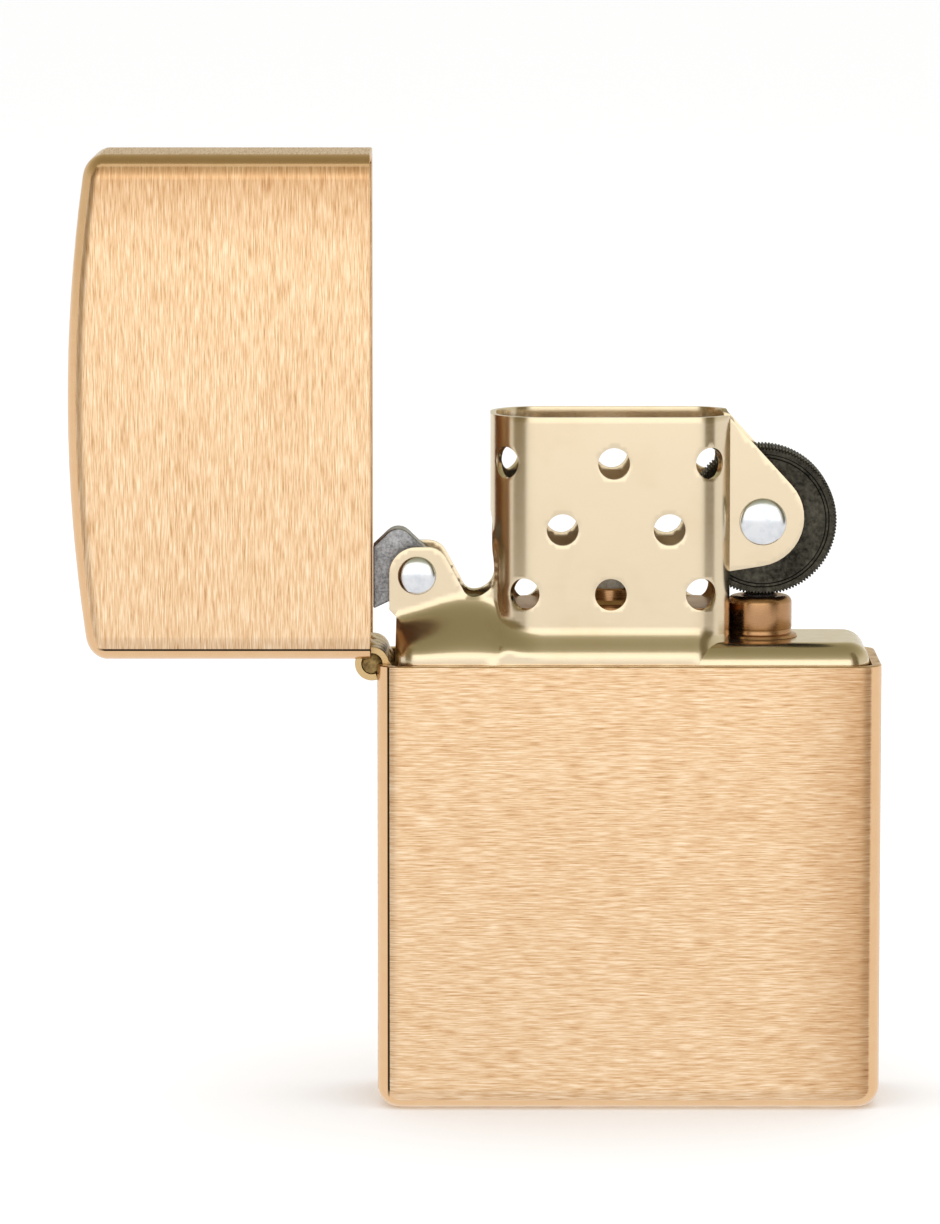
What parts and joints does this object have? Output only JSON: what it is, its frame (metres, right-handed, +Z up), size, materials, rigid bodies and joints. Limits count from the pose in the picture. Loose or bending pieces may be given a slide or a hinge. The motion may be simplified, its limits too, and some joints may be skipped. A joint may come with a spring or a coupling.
{
  "type": "pocket lighter",
  "caption": "Flip-top petrol pocket lighter in brushed brass, lid open on its hinge, with a perforated windscreen, cam and flint wheel on a pull-out insert.",
  "frame": {"origin": "centre of the base's bottom face, at the level where the lighter stands", "axes": "+Z up along the height, +X from the hinge towards the flint wheel, the front faces -Y; stored with the lid open a quarter turn"},
  "size_m": [0.0613, 0.0126, 0.0724],
  "materials": {
    "brushed_brass": "fine straight brush lines along the body's width, clear satin",
    "hinge_brass": "formed and lightly tarnished",
    "insert_gold": "polished, pale gold",
    "tube_bronze": "copper-bronze, lightly heat-toned",
    "nickel": "bright domed nickel",
    "sintered_steel": "matt grey, speckled",
    "wheel_steel": "hardened dark gunmetal, knurled",
    "spring_steel": "drawn spring steel",
    "screw_brass": "turned brass",
    "flint": "matt dark ferrocerium",
    "wick": "braided cotton",
    "felt": "pressed felt",
    "cotton": "loose cotton"
  },
  "bodies": {
    "base": {"case_bottom": "brushed_brass", "case_hinge_leaf": "hinge_brass", "hinge_pin": "hinge_brass"},
    "lid": {"lid_shell": "brushed_brass", "lid_hinge_leaf": "hinge_brass"},
    "insert": {"fuel_tank": "insert_gold", "insert_top": "insert_gold", "chimney_floor": "tube_bronze", "felt_pad": "felt", "cotton_packing": "cotton", "wick": "wick", "flint_tube": "tube_bronze", "flint_spring": "spring_steel", "cam_rivet": "nickel", "wheel_rivet": "nickel", "cam_spring": "spring_steel", "cam_spring_rivet": "nickel"},
    "cam": {"cam": "sintered_steel"},
    "wheel": {"flint_wheel": "wheel_steel"},
    "flint_carriage": {"flint": "flint", "flint_spring_tip": "screw_brass"},
    "screw": {"flint_screw": "screw_brass"}
  },
  "joints": [
    {"name": "lid_hinge", "type": "hinge", "parent": "base", "child": "lid", "pos_m": [-0.01945, 0, 0.0339], "axis": [0, -1, 0], "range_deg": [-90, 10]},
    {"name": "insert_slide", "type": "slide", "parent": "base", "child": "insert", "axis": [0, 0, 1], "range_m": [0, 0.036]},
    {"name": "cam_rock", "type": "hinge", "parent": "insert", "child": "cam", "pos_m": [-0.01605, 0, 0.0404], "axis": [0, -1, 0], "range_deg": [-99.5, 11.5]},
    {"name": "wheel_spin", "type": "hinge", "parent": "insert", "child": "wheel", "pos_m": [0.0101, 0, 0.0445], "axis": [0, -1, 0], "continuous": true},
    {"name": "flint_feed", "type": "slide", "parent": "insert", "child": "flint_carriage", "axis": [0, 0, 1], "range_m": [-0.003, 0], "stiffness_N_per_m": 60, "springref_m": 0.004, "deforming": ["flint_spring"]},
    {"name": "flint_screw_turn", "type": "hinge", "parent": "insert", "child": "screw", "pos_m": [0.01, 0, 0.0026], "axis": [0, 0, -1], "continuous": true}
  ],
  "couplings": [
    {"joint": "cam_rock", "follows": "lid_hinge", "ratio": 1.1}
  ]
}
